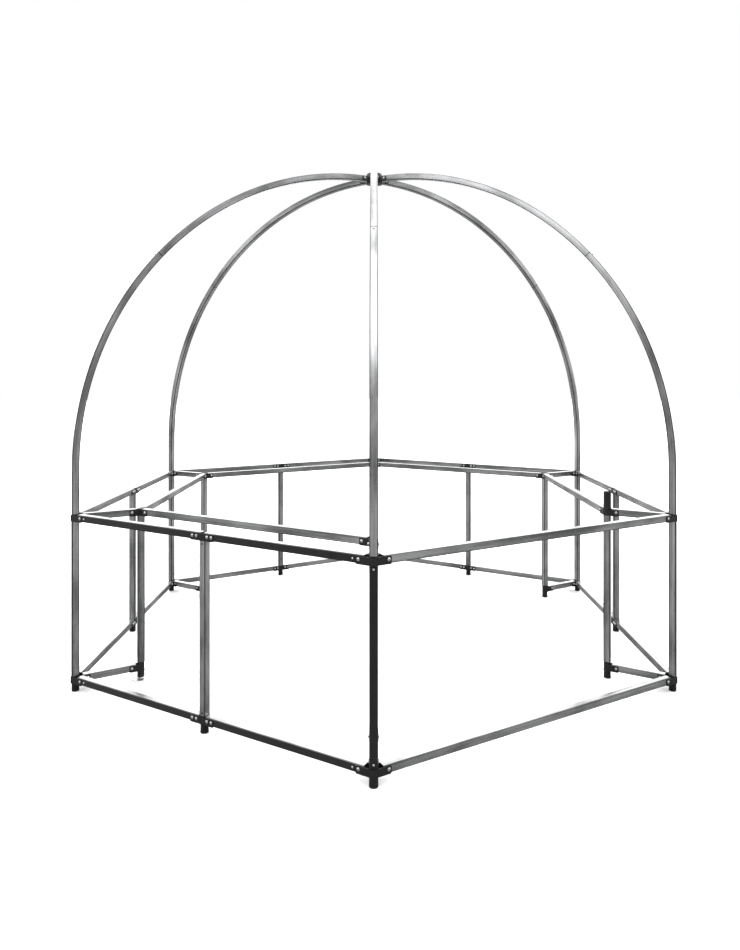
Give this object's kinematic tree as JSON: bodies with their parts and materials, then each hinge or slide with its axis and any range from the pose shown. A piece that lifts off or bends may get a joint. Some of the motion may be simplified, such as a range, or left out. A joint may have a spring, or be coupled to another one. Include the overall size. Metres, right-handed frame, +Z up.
{
  "type": "domed stall frame",
  "caption": "Hexagonal domed stall frame of square metal tubes: a counter ring on two rows of posts, arches that meet at a hub, and a lifting rail as the entrance.",
  "frame": {"origin": "on the ground under the middle of the hub", "axes": "+Z up, the front corner towards -Y, the lifting rail on the side between -Y and +X"},
  "size_m": [3.5192, 4.0542, 3.277],
  "materials": {
    "frame_tube": "mill finish, drawn along the tube",
    "black_steel": "satin black powder coat",
    "hub_black": "worn black coat",
    "foot_plastic": "matt moulded",
    "base_plate": "brushed",
    "button_steel": "plain",
    "hook_strip": "woven tape with hooks",
    "rivet": "bright",
    "fastener": "zinc plated"
  },
  "bodies": {
    "frame": {"corner_post_0": "frame_tube", "corner_post_1": "frame_tube", "corner_post_2": "frame_tube", "corner_post_3": "frame_tube", "corner_post_4": "frame_tube", "corner_post_5": "frame_tube", "mid_posts": "frame_tube", "inner_posts": "frame_tube", "counter_rail_1": "frame_tube", "counter_rail_2": "frame_tube", "counter_rail_3": "frame_tube", "counter_rail_4": "frame_tube", "counter_rail_5": "frame_tube", "entrance_base_rail": "frame_tube", "base_rails": "frame_tube", "inner_rails": "frame_tube", "counter_radials": "frame_tube", "base_radials": "frame_tube", "arch_lower_0": "frame_tube", "arch_lower_1": "frame_tube", "arch_lower_2": "frame_tube", "arch_lower_3": "frame_tube", "arch_lower_4": "frame_tube", "arch_lower_5": "frame_tube", "arch_upper_0": "frame_tube", "arch_upper_1": "frame_tube", "arch_upper_2": "frame_tube", "arch_upper_3": "frame_tube", "arch_upper_4": "frame_tube", "arch_upper_5": "frame_tube", "arch_spigots": "frame_tube", "button_springs": "button_steel", "corner_brackets": "black_steel", "corner_feet": "black_steel", "mid_brackets": "black_steel", "mid_feet": "black_steel", "inner_brackets": "black_steel", "inner_feet": "black_steel", "foot_caps": "foot_plastic", "base_plate": "base_plate", "pole_socket": "black_steel", "hub_body": "hub_black", "hub_cap": "hub_black", "hub_bolt": "fastener", "rail_bolts": "fastener", "rail_nuts": "fastener", "rail_inserts": "frame_tube", "insert_rivets": "rivet", "post_screws": "fastener", "post_strips": "hook_strip", "rail_strips": "hook_strip"},
    "entrance_rail": {"entrance_rail": "frame_tube", "entrance_pin": "fastener"},
    "snap_button_0": {"snap_button_0": "button_steel"},
    "snap_button_1": {"snap_button_1": "button_steel"},
    "snap_button_2": {"snap_button_2": "button_steel"},
    "snap_button_3": {"snap_button_3": "button_steel"},
    "snap_button_4": {"snap_button_4": "button_steel"},
    "snap_button_5": {"snap_button_5": "button_steel"}
  },
  "joints": [
    {"name": "entrance_lift", "type": "hinge", "parent": "frame", "child": "entrance_rail", "pos_m": [0.05716, -1.967, 1.005], "axis": [0.5, -0.866, 0], "range_deg": [0, 85]},
    {"name": "snap_button_0_press", "type": "slide", "parent": "frame", "child": "snap_button_0", "axis": [0, 0.7573, -0.653], "range_m": [0, 0.006], "stiffness_N_per_m": 800, "springref_m": -0.004},
    {"name": "snap_button_1_press", "type": "slide", "parent": "frame", "child": "snap_button_1", "axis": [-0.6559, 0.3787, -0.653], "range_m": [0, 0.006], "stiffness_N_per_m": 800, "springref_m": -0.004},
    {"name": "snap_button_2_press", "type": "slide", "parent": "frame", "child": "snap_button_2", "axis": [-0.6559, -0.3787, -0.653], "range_m": [0, 0.006], "stiffness_N_per_m": 800, "springref_m": -0.004},
    {"name": "snap_button_3_press", "type": "slide", "parent": "frame", "child": "snap_button_3", "axis": [0, -0.7573, -0.653], "range_m": [0, 0.006], "stiffness_N_per_m": 800, "springref_m": -0.004},
    {"name": "snap_button_4_press", "type": "slide", "parent": "frame", "child": "snap_button_4", "axis": [0.6559, -0.3787, -0.653], "range_m": [0, 0.006], "stiffness_N_per_m": 800, "springref_m": -0.004},
    {"name": "snap_button_5_press", "type": "slide", "parent": "frame", "child": "snap_button_5", "axis": [0.6559, 0.3787, -0.653], "range_m": [0, 0.006], "stiffness_N_per_m": 800, "springref_m": -0.004}
  ]
}
